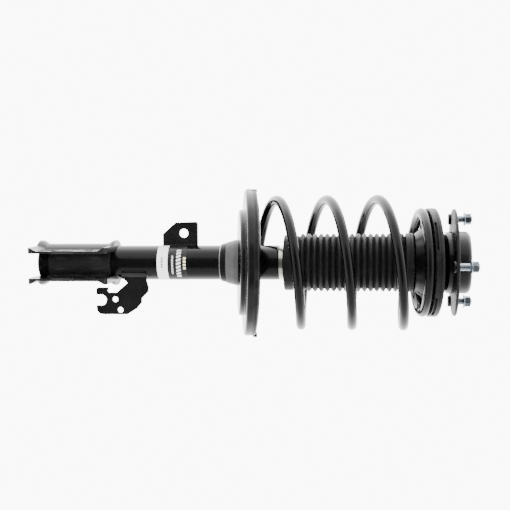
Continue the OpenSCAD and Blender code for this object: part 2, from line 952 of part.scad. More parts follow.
// Dark decal with plain stripes
module tube_decal() {
    color([0.12, 0.12, 0.12])
        sticker(-410, -383, tab_t + 2);
}

// ---- assembly ---------------------------------------------------------------------------

mount_plate();
mount_cup();
mount_rubber();
mount_sleeve();
mount_lower_shell();
mount_studs();
stud_nuts();
rod_washer();
rod_nut();
bearing_upper_race();
piston_rod();
rebound_stop();
piston();
piston_band();
piston_nut();
bearing_cage();
bearing_balls();
bearing_lower_race();
upper_spring_seat();
upper_insulator();
coil_spring();
dust_boot();
bump_stop();
damper_tube();
base_cup();
inner_cylinder();
base_valve();
rod_guide();
rod_seal();
gland_cap();
lower_spring_seat();
seat_collar();
lower_insulator();
knuckle_bracket();
bracket_saddle();
stabilizer_tab();
hose_bracket();
paper_label();
tube_decal();
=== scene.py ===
import json
import math
import random

import bmesh
import bpy
from mathutils import Matrix, Vector


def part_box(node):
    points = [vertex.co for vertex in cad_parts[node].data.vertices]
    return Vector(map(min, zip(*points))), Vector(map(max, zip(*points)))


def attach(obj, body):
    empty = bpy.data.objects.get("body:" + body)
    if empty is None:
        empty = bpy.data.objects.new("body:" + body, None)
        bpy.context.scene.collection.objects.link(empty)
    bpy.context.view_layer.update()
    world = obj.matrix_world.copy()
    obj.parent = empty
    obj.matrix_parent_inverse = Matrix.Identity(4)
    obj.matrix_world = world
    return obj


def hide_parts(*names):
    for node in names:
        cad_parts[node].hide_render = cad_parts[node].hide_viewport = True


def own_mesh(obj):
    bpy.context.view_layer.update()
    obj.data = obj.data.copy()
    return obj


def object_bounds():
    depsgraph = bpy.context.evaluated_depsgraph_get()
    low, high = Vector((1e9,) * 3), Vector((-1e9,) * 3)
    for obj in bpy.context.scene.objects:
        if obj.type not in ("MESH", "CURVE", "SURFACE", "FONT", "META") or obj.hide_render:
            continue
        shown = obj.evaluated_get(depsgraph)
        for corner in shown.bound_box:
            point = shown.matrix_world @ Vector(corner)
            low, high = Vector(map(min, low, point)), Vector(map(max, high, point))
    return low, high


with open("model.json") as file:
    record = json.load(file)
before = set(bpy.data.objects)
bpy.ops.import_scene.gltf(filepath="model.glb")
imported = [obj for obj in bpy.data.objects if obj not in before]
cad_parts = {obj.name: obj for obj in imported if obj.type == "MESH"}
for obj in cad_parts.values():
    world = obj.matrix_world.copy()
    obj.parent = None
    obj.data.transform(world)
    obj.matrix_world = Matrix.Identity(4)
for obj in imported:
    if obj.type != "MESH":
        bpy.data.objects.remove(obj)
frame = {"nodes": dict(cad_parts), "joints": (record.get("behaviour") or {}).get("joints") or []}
cad_low, cad_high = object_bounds()
random.seed(7)

MM = 0.001
NODES = frame["nodes"]


def corners(node):
    """Low and high corner of a CAD node, in metres."""
    low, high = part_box(node)
    return Vector(low), Vector(high)


def heights(node):
    """Lowest and highest point of a CAD node, in millimetres."""
    low, high = corners(node)
    return low.z / MM, high.z / MM


# ---- camera -----------------------------------------------------------------------------------

# Fitted to the photo's view of the strut.
CAMERA_PLACE = Vector((-0.115, -1.40, -0.127))
CAMERA_AIM = Vector((-0.01092115, 0.0, -0.28598508))
CAMERA_ROLL = -0.00921154
LENS_MM = 68.7177882


def make_camera():
    """The strut lies level, its top mount to the right, with world -X upwards in the picture."""
    back = (CAMERA_PLACE - CAMERA_AIM).normalized()
    right = Vector((-1, 0, 0)).cross(back).normalized()
    up = back.cross(right)
    c, s = math.cos(CAMERA_ROLL), math.sin(CAMERA_ROLL)
    right, up = right * c + up * s, up * c - right * s
    data = bpy.data.cameras.new("camera")
    data.lens = LENS_MM
    data.sensor_width = 36
    data.clip_start = 0.05
    data.clip_end = 50
    ob = bpy.data.objects.new("camera", data)
    bpy.context.collection.objects.link(ob)
    matrix = Matrix((right, up, back)).transposed().to_4x4()
    matrix.translation = CAMERA_PLACE
    ob.matrix_world = matrix
    bpy.context.scene.camera = ob


make_camera()


# ---- shader helpers ---------------------------------------------------------------------------

def add(tree, kind, inputs=None, **settings):
    """A shader node with its settings and inputs; an input is a value or another node's socket."""
    made = tree.nodes.new("ShaderNode" + kind)
    for key, value in settings.items():
        setattr(made, key, value)
    for key, value in (inputs or {}).items():
        if isinstance(value, bpy.types.NodeSocket):
            tree.links.new(value, made.inputs[key])
        else:
            made.inputs[key].default_value = value
    return made


def math_node(tree, operation, a, b=0.0):
    made = add(tree, "Math", {0: a, 1: b}, operation=operation)
    return made.outputs[0]


def spread(tree, value, low, high, start=0.3, end=0.7):
    """Maps a noise value onto a range."""
    return add(tree, "MapRange", {"Value": value, "From Min": start, "From Max": end,
                                  "To Min": low, "To Max": high}).outputs[0]


def noise(tree, vector, scale, detail=3.0):
    return add(tree, "TexNoise", {"Vector": vector, "Scale": scale, "Detail": detail,
                                  "Roughness": 0.55}).outputs[0]


def mix(tree, share, first, second):
    return add(tree, "MixRGB", {"Fac": share, "Color1": first, "Color2": second}).outputs[0]


def rgb(r, g, b):
    return (r, g, b, 1.0)


def bumps(tree, layers):
    """Chains bump nodes: each layer is (height socket, distance in metres, strength)."""
    normal = None
    for height, distance, strength in layers:
        inputs = {"Height": height, "Distance": distance, "Strength": strength}
        if normal is not None:
            inputs["Normal"] = normal
        normal = add(tree, "Bump", inputs).outputs["Normal"]
    return normal


def start_material(name):
    """A new material with its tree, its shader and the point in the object's own space."""
    material = bpy.data.materials.new(name)
    material.use_nodes = True
    tree = material.node_tree
    shader = tree.nodes["Principled BSDF"]
    position = add(tree, "TexCoord").outputs["Object"]
    return material, tree, shader, position


def stretched(tree, position, x, y, z):
    return add(tree, "Mapping", {"Vector": position, "Scale": (x, y, z)}).outputs[0]


# ---- materials --------------------------------------------------------------------------------

WORN_PAINT = (0.035, 0.035, 0.037)
WEAR_RADIUS = 0.7 * MM


def worn_edges(tree, position, wear):
    """How far the paint is rubbed thin: up to wear on sharp edges, in patches."""
    rounded = add(tree, "Bevel", {"Radius": WEAR_RADIUS}, samples=4).outputs[0]
    flat = add(tree, "NewGeometry").outputs["Normal"]
    turn = add(tree, "VectorMath", {0: rounded, 1: flat}, operation="DOT_PRODUCT").outputs["Value"]
    edge = spread(tree, turn, 1, 0, 0.80, 0.97)
    patches = spread(tree, noise(tree, position, 300, 4), 0, wear, 0.45, 0.7)
    return math_node(tree, "MULTIPLY", edge, patches)


def paint(name, base=0.0018, dust=0.004, rough=(0.09, 0.15), peel=0.3, wear=0.5, level=0.5):
    """Black paint: orange peel, faint dust in patches and thin wear on sharp edges."""
    material, tree, shader, position = start_material(name)
    patches = noise(tree, position, 38, 5)
    specks = noise(tree, position, 1400, 2)
    dusty = base + dust * 0.35
    colour = mix(tree, spread(tree, patches, 0, 1, 0.42, 0.75), rgb(base, base, base * 1.05),
                 rgb(dusty, dusty, base + dust * 0.36))
    colour = mix(tree, worn_edges(tree, position, wear), colour, rgb(*WORN_PAINT))
    tree.links.new(colour, shader.inputs["Base Color"])
    tree.links.new(spread(tree, noise(tree, position, 120, 4), *rough), shader.inputs["Roughness"])
    shader.inputs["Specular IOR Level"].default_value = level
    normal = bumps(tree, [(noise(tree, position, 420, 2), 0.00006, peel),
                          (specks, 0.00002, 0.25)])
    tree.links.new(normal, shader.inputs["Normal"])
    return material


def rubber(name, base=0.004, bloom=0.013, rough=(0.28, 0.46), grain=900, depth=0.04 * MM,
           level=0.45):
    """Moulded rubber: fine grain, a greyish bloom in patches and flow marks."""
    material, tree, shader, position = start_material(name)
    bloomed = spread(tree, noise(tree, position, 55, 6), 0, 1, 0.48, 0.8)
    colour = mix(tree, bloomed, rgb(base, base, base), rgb(bloom, bloom, bloom * 0.97))
    tree.links.new(colour, shader.inputs["Base Color"])
    tree.links.new(spread(tree, noise(tree, position, 200, 4), *rough), shader.inputs["Roughness"])
    shader.inputs["Specular IOR Level"].default_value = level
    shader.inputs["Sheen Weight"].default_value = 0.01
    cells = add(tree, "TexVoronoi", {"Vector": position, "Scale": grain}).outputs["Distance"]
    flow = noise(tree, stretched(tree, position, 1, 1, 6), 60, 3)
    tree.links.new(bumps(tree, [(cells, depth, 0.5), (flow, 0.0002, 0.3)]), shader.inputs["Normal"])
    return material


def turned(name, colour, second, rough=(0.18, 0.32), depth=0.03 * MM, pitch=5200):
    """Turned or ground metal: fine lines and rings round the axis, and stains."""
    material, tree, shader, position = start_material(name)
    lines = noise(tree, stretched(tree, position, 12, 12, pitch), 1, 2)
    rings = add(tree, "TexWave", {"Vector": position, "Scale": 420, "Distortion": 0.4},
                wave_type="RINGS", rings_direction="Z").outputs["Fac"]
    stains = spread(tree, noise(tree, position, 90, 5), 0, 1, 0.4, 0.72)
    tree.links.new(mix(tree, stains, rgb(*colour), rgb(*second)), shader.inputs["Base Color"])
    shader.inputs["Metallic"].default_value = 1.0
    tree.links.new(spread(tree, noise(tree, position, 260, 4), *rough), shader.inputs["Roughness"])
    normal = bumps(tree, [(lines, depth, 0.5), (rings, depth, 0.35)])
    tree.links.new(normal, shader.inputs["Normal"])
    return material


def plated(name, dark=(0.34, 0.40, 0.47), light=(0.60, 0.66, 0.72)):
    """Zinc plate or a rubbed bare edge: crystalline mottle, two tones and fine pits."""
    material, tree, shader, position = start_material(name)
    mottle = add(tree, "TexVoronoi", {"Vector": position, "Scale": 1100}).outputs["Distance"]
    tone = spread(tree, noise(tree, position, 260, 5), 0, 1, 0.35, 0.7)
    colour = mix(tree, tone, rgb(*dark), rgb(*light))
    tree.links.new(colour, shader.inputs["Base Color"])
    shader.inputs["Metallic"].default_value = 1.0
    rough = spread(tree, noise(tree, position, 700, 4), 0.22, 0.42)
    tree.links.new(rough, shader.inputs["Roughness"])
    normal = bumps(tree, [(mottle, 0.00004, 0.4), (noise(tree, position, 2500, 2), 0.00002, 0.4)])
    tree.links.new(normal, shader.inputs["Normal"])
    return material


def porous(name, colour, second, scale, depth, rough, metal=0.0):
    """Foam, sintered iron or moulded plastic: cells and pores at their own scale."""
    material, tree, shader, position = start_material(name)
    cells = add(tree, "TexVoronoi", {"Vector": position, "Scale": scale}).outputs["Distance"]
    tone = spread(tree, noise(tree, position, scale / 12, 5), 0, 1, 0.38, 0.7)
    tree.links.new(mix(tree, tone, rgb(*colour), rgb(*second)), shader.inputs["Base Color"])
    shader.inputs["Metallic"].default_value = metal
    tree.links.new(spread(tree, noise(tree, position, scale / 3, 3), *rough),
                   shader.inputs["Roughness"])
    fine = noise(tree, position, scale * 3, 2)
    normal = bumps(tree, [(cells, depth, 0.7), (fine, depth / 3, 0.5)])
    tree.links.new(normal, shader.inputs["Normal"])
    return material


def band(tree, value, centre, half):
    """1 where the value lies within half of the centre, 0 elsewhere."""
    away = math_node(tree, "ABSOLUTE", math_node(tree, "SUBTRACT", value, centre))
    return math_node(tree, "LESS_THAN", away, half)


def blocks(tree, value, period, share):
    """1 over a share of every period: a row of plain blocks."""
    phase = math_node(tree, "FRACT", math_node(tree, "DIVIDE", value, period))
    return math_node(tree, "LESS_THAN", phase, share)


def unrolled(tree, position, radius):
    """Height and distance round the tube from the side that faces -Y, in metres."""
    parts = add(tree, "SeparateXYZ", {0: position}).outputs
    angle = math_node(tree, "ARCTAN2", parts["X"], math_node(tree, "MULTIPLY", parts["Y"], -1.0))
    return parts["Z"], math_node(tree, "MULTIPLY", angle, radius)


def rows(tree, height, along, marks):
    """Adds up rows of blocks. A mark is a row's height and half height, its middle and half
    length round the tube, and the period, share and slant of its blocks."""
    total = None
    for z, half, middle, reach, period, share, slant in marks:
        slanted = math_node(tree, "ADD", along, math_node(tree, "MULTIPLY", height, slant))
        row = math_node(tree, "MULTIPLY", band(tree, height, z, half),
                        band(tree, along, middle, reach))
        row = math_node(tree, "MULTIPLY", row, blocks(tree, slanted, period, share))
        total = row if total is None else math_node(tree, "MAXIMUM", total, row)
    return total


def paper_material():
    """Matt paper band: fibres, a little dirt and one row of plain dark blocks."""
    material, tree, shader, position = start_material("paper")
    low, high = corners("paper_label")
    height, along = unrolled(tree, position, high.x)
    fibres = noise(tree, stretched(tree, position, 700, 700, 2600), 1, 5)
    colour = mix(tree, spread(tree, fibres, 0, 1), rgb(0.93, 0.93, 0.92), rgb(0.97, 0.97, 0.96))
    dirt = spread(tree, noise(tree, position, 120, 6), 0, 0.2, 0.6, 0.85)
    colour = mix(tree, dirt, colour, rgb(0.45, 0.43, 0.4))
    row_z = (low.z + high.z) / 2 - 0.5 * MM
    marks = rows(tree, height, along,
                 [(row_z, 1.5 * MM, -1.5 * MM, 8 * MM, 3.1 * MM, 0.62, 0.0)])
    colour = mix(tree, marks, colour, rgb(0.03, 0.03, 0.03))
    tree.links.new(colour, shader.inputs["Base Color"])
    tree.links.new(spread(tree, fibres, 0.55, 0.8), shader.inputs["Roughness"])
    tree.links.new(bumps(tree, [(fibres, 0.00003, 0.5)]), shader.inputs["Normal"])
    return material


def decal_material():
    """Printed film: black, with rows of plain pale blocks in place of any lettering."""
    material, tree, shader, position = start_material("decal")
    low, high = corners("tube_decal")
    height, along = unrolled(tree, position, high.x)
    white = rows(tree, height, along, [
        (low.z + 6.5 * MM, 1.3 * MM, 2 * MM, 14 * MM, 2.3 * MM, 0.55, 0.3),
        (low.z + 15.5 * MM, 3.2 * MM, 0.5 * MM, 23 * MM, 5.2 * MM, 0.62, 0.35)])
    warm = rows(tree, height, along, [
        (low.z + 24.3 * MM, 1.9 * MM, -1 * MM, 9.5 * MM, 4.8 * MM, 0.66, 0.0)])
    grime = spread(tree, noise(tree, position, 150, 5), 0, 1, 0.4, 0.75)
    ground = mix(tree, grime, rgb(0.008, 0.008, 0.009), rgb(0.02, 0.02, 0.021))
    printed = noise(tree, position, 2200, 3)
    ink = mix(tree, spread(tree, printed, 0, 1), rgb(0.72, 0.72, 0.71), rgb(0.88, 0.88, 0.87))
    gold = mix(tree, spread(tree, printed, 0, 1), rgb(0.78, 0.72, 0.42), rgb(0.86, 0.82, 0.60))
    colour = mix(tree, warm, mix(tree, white, ground, ink), gold)
    tree.links.new(colour, shader.inputs["Base Color"])
    rough = spread(tree, noise(tree, position, 300, 3), 0.22, 0.36)
    tree.links.new(rough, shader.inputs["Roughness"])
    tree.links.new(bumps(tree, [(printed, 0.00001, 0.5)]), shader.inputs["Normal"])
    return material


PAINT = paint("black_paint")
SATIN = paint("satin_paint", base=0.004, dust=0.01, rough=(0.26, 0.36), peel=0.5)
SPRING_COAT = paint("spring_coat", base=0.0015, dust=0.003, rough=(0.07, 0.12), peel=0.2, wear=0.0)
RUBBER = rubber("rubber")
BOOT_RUBBER = rubber("boot_rubber", base=0.005, bloom=0.010, rough=(0.38, 0.50), grain=1500,
                     depth=0.006 * MM, level=0.28)
ZINC = plated("zinc")
CHROME = turned("chrome_rod", (0.72, 0.72, 0.73), (0.62, 0.62, 0.64), rough=(0.06, 0.12),
                depth=0.006 * MM)
STEEL = turned("machined_steel", (0.52, 0.52, 0.50), (0.40, 0.39, 0.37))
CAP = turned("cap_metal", (0.95, 0.94, 0.88), (0.86, 0.83, 0.70), rough=(0.10, 0.20), pitch=2600)
FOAM = porous("foam", (0.55, 0.44, 0.24), (0.72, 0.62, 0.42), 900, 0.2 * MM, (0.75, 0.95))
SINTER = porous("sintered", (0.22, 0.21, 0.20), (0.34, 0.33, 0.31), 1600, 0.06 * MM,
                (0.45, 0.65), metal=0.9)
NYLON = porous("nylon", (0.50, 0.40, 0.26), (0.60, 0.51, 0.36), 700, 0.03 * MM, (0.35, 0.5))
PTFE = porous("ptfe", (0.10, 0.14, 0.11), (0.16, 0.20, 0.16), 800, 0.02 * MM, (0.4, 0.55))
# Near-black rubber for the floors of the upper ring's slots: painted shade.
SLOT_PAINTED_SHADE = rubber("slot_painted_shade", base=0.0006, bloom=0.001, rough=(0.6, 0.8))
CLEVIS = paint("clevis_paint", base=0.010, dust=0.02, rough=(0.16, 0.26), peel=0.3)
BRACKET = paint("bracket_paint", base=0.005, dust=0.010, rough=(0.14, 0.22), peel=0.3)
PAD = paint("pad_paint", base=0.018, dust=0.03, rough=(0.30, 0.40), peel=0.3)
RIM = paint("seat_paint", base=0.003, dust=0.008, rough=(0.10, 0.16), wear=0.1)
FUNNEL = paint("funnel_paint", base=0.001, dust=0.003, rough=(0.24, 0.32), peel=0.3, wear=0.2,
               level=0.22)
PLATE = paint("plate_paint", base=0.006, dust=0.012, rough=(0.40, 0.52), peel=0.5, level=0.30)
BARE_EDGE = plated("bare_edge", dark=(0.30, 0.30, 0.30), light=(0.5, 0.5, 0.5))
# Lighter grey paint for the collar's cone: a painted highlight in place of its bright reflection.
CONE_PAINTED_HIGHLIGHT = paint("cone_painted_highlight", base=0.055, dust=0.06, rough=(0.30, 0.42), peel=0.6)
# Darker copy of the zinc for the nuts' hexagons: painted shade.
NUT_ZINC_PAINTED_SHADE = plated("nut_zinc_painted_shade", dark=(0.10, 0.12, 0.14), light=(0.26, 0.29, 0.32))
PAPER = paper_material()
DECAL = decal_material()

# The finish of every CAD node, also of those that a finer piece replaces.
FINISH = {
    "mount_plate": PLATE, "mount_cup": SATIN, "mount_rubber": RUBBER, "mount_sleeve": STEEL,
    "mount_lower_shell": PAINT, "rod_washer": STEEL, "rod_nut": ZINC, "bearing_upper_race": STEEL,
    "piston_rod": CHROME, "rebound_stop": RUBBER, "piston": SINTER, "piston_band": PTFE,
    "piston_nut": STEEL, "bearing_cage": NYLON, "bearing_balls": STEEL, "bearing_lower_race": STEEL,
    "upper_spring_seat": FUNNEL, "bump_stop": FOAM, "base_cup": PAINT, "inner_cylinder": STEEL,
    "base_valve": SINTER, "rod_guide": SINTER, "rod_seal": RUBBER, "gland_cap": CAP,
    "lower_spring_seat": RIM, "seat_collar": PAINT, "knuckle_bracket": CLEVIS,
    "bracket_saddle": CLEVIS, "stabilizer_tab": BRACKET, "hose_bracket": BRACKET,
    "paper_label": PAPER, "tube_decal": DECAL,
    "mount_studs": ZINC, "stud_nuts": ZINC, "damper_tube": PAINT, "dust_boot": BOOT_RUBBER,
    "coil_spring": SPRING_COAT, "upper_insulator": RUBBER, "lower_insulator": RUBBER,
}

# Width in millimetres of the rounding on the edges of CAD nodes that stay in sight, and the
# angle in degrees from which an edge is rounded.
ROUND_EDGES = {
    "mount_plate": 0.3, "mount_cup": 0.5, "mount_lower_shell": 0.5, "rod_washer": 0.4,
    "rod_nut": 0.5, "upper_spring_seat": 0.6, "gland_cap": 0.3, "knuckle_bracket": 0.35,
    "bracket_saddle": 0.35, "stabilizer_tab": 0.25,
}
EDGE_ANGLE = 35
SEAT_EDGE_ANGLE = 24
AREA_WEIGHT = 80                              # 50 is neutral, more favours large faces


def even_normals(ob, keep_sharp=False):
    """Weights the normals by face area, so that flat faces next to a rounding look flat."""
    flats = ob.modifiers.new("flats", "WEIGHTED_NORMAL")
    flats.keep_sharp = keep_sharp
    flats.weight = AREA_WEIGHT


def round_edges(ob, width, angle):
    """Rounds a CAD node's sharp edges, after welding the doubled points of its mesh."""
    weld = ob.modifiers.new("weld", "WELD")
    weld.merge_threshold = 0.01 * MM
    bevel = ob.modifiers.new("edges", "BEVEL")
    bevel.width = width * MM
    bevel.segments = 3
    bevel.limit_method = "ANGLE"
    bevel.angle_limit = math.radians(angle)
    bevel.use_clamp_overlap = True
    even_normals(ob)


for name, ob in NODES.items():
    ob.data.materials.clear()
    ob.data.materials.append(FINISH[name])
    if name in ROUND_EDGES:
        round_edges(ob, ROUND_EDGES[name],
                    SEAT_EDGE_ANGLE if name == "upper_spring_seat" else EDGE_ANGLE)


# ---- mesh helpers -----------------------------------------------------------------------------

def piece(name, verts, faces, material, body, nodes=(), flat_angle=40):
    """A mesh object from points in metres, riding on a CAD body."""
    mesh = bpy.data.meshes.new(name)
    mesh.from_pydata([tuple(v) for v in verts], [], faces)
    mesh.validate()
    work = bmesh.new()
    work.from_mesh(mesh)
    bmesh.ops.remove_doubles(work, verts=work.verts, dist=0.002 * MM)
    bmesh.ops.recalc_face_normals(work, faces=work.faces)
    work.to_mesh(mesh)
    work.free()
    mesh.materials.append(material)
    mesh.shade_smooth()
    mesh.set_sharp_from_angle(angle=math.radians(flat_angle))
    ob = bpy.data.objects.new(name, mesh)
    bpy.context.collection.objects.link(ob)
    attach(ob, body)
    if nodes:
        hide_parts(*nodes)
    even_normals(ob, keep_sharp=True)
    return ob


def lathe(profile, steps=144, turn=None, shape=None):
    """Revolves a closed (radius, height) outline in millimetres about Z. shape(i, angle, r, z)
    may move a point of the outline; turn places the whole ring."""
    verts, faces = [], []
    count = len(profile)
    for k in range(steps):
        a = 2 * math.pi * k / steps
        for i, (r, z) in enumerate(profile):
            if shape:
                r, z = shape(i, a, r, z)
            p = Vector((r * math.cos(a), r * math.sin(a), z))
            if turn:
                p = turn @ p
            verts.append(p * MM)
    for k in range(steps):
        for i in range(count):
            j = (i + 1) % count
            faces.append((k * count + i, k * count + j,
                          ((k + 1) % steps) * count + j, ((k + 1) % steps) * count + i))
    return verts, faces


def arc(cx, cz, r, start, end, steps=8):
    """Points on a circle from one angle to another, in degrees."""
    return [(cx + r * math.cos(math.radians(start + (end - start) * i / steps)),
             cz + r * math.sin(math.radians(start + (end - start) * i / steps)))
            for i in range(steps + 1)]


def join(parts):
    """One list of points and faces from several."""
    verts, faces = [], []
    for more_verts, more_faces in parts:
        offset = len(verts)
        verts += more_verts
        faces += [tuple(i + offset for i in f) for f in more_faces]
    return verts, faces


def tilt(angle_x, angle_y, z):
    """Places a seat's own plane: turned about Y, then about X, and lifted to its height."""
    return (Matrix.Translation((0, 0, z)) @ Matrix.Rotation(math.radians(angle_x), 4, "X")
            @ Matrix.Rotation(math.radians(angle_y), 4, "Y"))


def strips(rings, count):
    """Faces between neighbouring closed rings of count points each, with both ends closed."""
    faces = [(i * count + k, i * count + (k + 1) % count,
              (i + 1) * count + (k + 1) % count, (i + 1) * count + k)
             for i in range(rings - 1) for k in range(count)]
    faces.append(tuple(range(count))[::-1])
    faces.append(tuple(range((rings - 1) * count, rings * count)))
    return faces


def bead(name, path, radius):
    """A weld bead along points in millimetres, with the ripples that a torch leaves."""
    sides = 10
    verts = []
    points = [Vector(p) for p in path]
    for i, p in enumerate(points):
        ahead = points[min(i + 1, len(points) - 1)] - points[max(i - 1, 0)]
        ahead.normalize()
        side = ahead.orthogonal().normalized()
        other = ahead.cross(side)
        end = min(i, len(points) - 1 - i)
        taper = min(1.0, 0.35 + 0.32 * end)
        ripple = 1 + 0.10 * math.sin(i * 1.9) + random.uniform(-0.04, 0.04)
        r = radius * taper * ripple
        for k in range(sides):
            a = 2 * math.pi * k / sides
            verts.append((p + side * r * math.cos(a) + other * r * math.sin(a)) * MM)
    piece(name, verts, strips(len(points), sides), PAINT, "strut_body",
          flat_angle=80)


# ---- coil spring ------------------------------------------------------------------------------

# Lengths in millimetres and angles in degrees, as in the CAD model.
WIRE_R = 7.0
MEAN_R = 90.0
TOP_R = 70.5                                  # radius of the smaller top coil
PITCH = 72.6
LOWER_TILT, LOWER_LEAN, UPPER_TILT = -9.5, 1.0, -6.5
LOWER_SEAT_Z, UPPER_SEAT_Z = -299.0, -38.0
LOWER_RUBBER, UPPER_RUBBER, GAP = 1.4, 2.5, 0.4   # between the wire and each seat
WIRE_LOW_Z = LOWER_SEAT_Z + LOWER_RUBBER + GAP + WIRE_R
WIRE_HIGH_Z = UPPER_SEAT_Z - UPPER_RUBBER - GAP - WIRE_R
LOW_TIP, HIGH_TIP = -250.0, 1500.0            # where the wire starts and ends
TOUCH = 4.0                                   # where it leaves the lower seat
LEAVE = TOUCH + (WIRE_HIGH_Z - WIRE_LOW_Z) * 360 / PITCH
BEND = 26.0                                   # half the stretch over which it bends away
PIGTAIL, PIGTAIL_REACH = 1080.0, 155          # where and over what angle it draws inwards
WIRE_STEP = 4.5


def eased(u, w):
    """0 below -w, u above w, and a parabola that joins them."""
    if abs(u) < w:
        return (u + w) ** 2 / (4 * w)
    return max(0.0, u)


def smooth_step(t):
    c = min(1.0, max(0.0, t))
    return c * c * (3 - 2 * c)


def climb(a):
    """Share of the way from the lower seat to the upper one at an angle along the wire."""
    return (eased(a - TOUCH, BEND) - eased(a - LEAVE, BEND)) / (LEAVE - TOUCH)


def wire_point(a):
    """Centre line of the wire, in millimetres: end coils lie in the planes of the two seats."""
    s = climb(a)
    r = MEAN_R - (MEAN_R - TOP_R) * smooth_step((a - PIGTAIL) / PIGTAIL_REACH)
    x, y = r * math.cos(math.radians(a)), r * math.sin(math.radians(a))
    slant_y = (math.tan(math.radians(LOWER_TILT)) * (1 - s) + math.tan(math.radians(UPPER_TILT)) * s
               - 0.05 * smooth_step((a - TOUCH) / 100) * (1 - s))
    slant_x = -math.tan(math.radians(LOWER_LEAN)) * (1 - s)
    return Vector((x, y, WIRE_LOW_Z * (1 - s) + WIRE_HIGH_Z * s + y * slant_y + x * slant_x))


STROKE = next(j for j in frame["joints"] if j["name"] == "stroke")["range_m"][1]
SPRING_ANCHOR = -0.041                        # in metres: the height that the stroke leaves alone
SPRING_KEEP = 0.45                            # length left at the end of the stroke


def wire_tree(name):
    """Geometry nodes that turn the spring's centre line into a round wire. When the stroke joint
    squashes the line, its end coils follow the two seats and the wire stays round."""
    tree = bpy.data.node_groups.new(name, "GeometryNodeTree")
    tree.interface.new_socket("Geometry", in_out="INPUT", socket_type="NodeSocketGeometry")
    tree.interface.new_socket("Geometry", in_out="OUTPUT", socket_type="NodeSocketGeometry")
    nodes, links = tree.nodes, tree.links

    def new(kind, inputs=None, **settings):
        made = nodes.new(kind)
        for key, value in settings.items():
            setattr(made, key, value)
        for key, value in (inputs or {}).items():
            if isinstance(value, bpy.types.NodeSocket):
                links.new(value, made.inputs[key])
            else:
                made.inputs[key].default_value = value
        return made

    def maths(operation, a, b):
        return new("ShaderNodeMath", {0: a, 1: b}, operation=operation).outputs[0]

    def attribute(label):
        return new("GeometryNodeInputNamedAttribute", {"Name": label},
                   data_type="FLOAT").outputs["Attribute"]

    enter, leave = new("NodeGroupInput"), new("NodeGroupOutput")
    position = new("GeometryNodeInputPosition").outputs[0]
    x, y, z = new("ShaderNodeSeparateXYZ", {0: position}).outputs
    rest_z, follow = attribute("rest_z"), attribute("follow")
    reach = maths("MULTIPLY", maths("SUBTRACT", rest_z, SPRING_ANCHOR), 1 - SPRING_KEEP)
    share = maths("DIVIDE", maths("SUBTRACT", rest_z, z), reach)
    lift = maths("MULTIPLY", maths("MULTIPLY", share, follow), STROKE)
    place = new("ShaderNodeCombineXYZ", {0: x, 1: y, 2: maths("ADD", rest_z, lift)}).outputs[0]
    moved = new("GeometryNodeSetPosition", {"Geometry": enter.outputs[0], "Position": place})
    line = new("GeometryNodeMeshToCurve", {0: moved.outputs[0]})
    circle = new("GeometryNodeCurvePrimitiveCircle", {"Resolution": 36, "Radius": WIRE_R * MM})
    tube = new("GeometryNodeCurveToMesh", {"Curve": line.outputs[0], "Fill Caps": True,
                                           "Profile Curve": circle.outputs[0]})
    soft = new("GeometryNodeSetShadeSmooth", {0: tube.outputs[0]})
    coat = new("GeometryNodeSetMaterial", {"Geometry": soft.outputs[0], "Material": SPRING_COAT})
    links.new(coat.outputs[0], leave.inputs[0])
    return tree


def make_spring():
    """The wire's centre line; its first and last points draw in for the rounded tips."""
    steps = int((HIGH_TIP - LOW_TIP - 6) / WIRE_STEP) + 1
    angles = [LOW_TIP, LOW_TIP + 0.35, LOW_TIP + 1.0]
    angles += [LOW_TIP + 3.5 + WIRE_STEP * i for i in range(steps)]
    angles += [HIGH_TIP - 1.0, HIGH_TIP - 0.35, HIGH_TIP]
    points = [wire_point(a) * MM for a in angles]
    ends = {0: 0.88, 1: 0.96, len(angles) - 1: 0.88, len(angles) - 2: 0.96}
    mesh = bpy.data.meshes.new("coil_spring_wire")
    edges = [(i, i + 1) for i in range(len(points) - 1)]
    mesh.from_pydata([tuple(p) for p in points], edges, [])
    for label, values in (("radius", [ends.get(i, 1.0) for i in range(len(points))]),
                          ("rest_z", [p.z for p in points]),
                          ("follow", [1 - climb(a) for a in angles])):
        mesh.attributes.new(label, "FLOAT", "POINT").data.foreach_set("value", values)
    mesh.materials.append(SPRING_COAT)
    ob = bpy.data.objects.new("coil_spring_wire", mesh)
    bpy.context.collection.objects.link(ob)
    ob.modifiers.new("wire", "NODES").node_group = wire_tree("round_wire")
    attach(ob, "upper_seat")
    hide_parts("coil_spring")
    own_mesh(ob)


make_spring()


# ---- dust boot --------------------------------------------------------------------------------

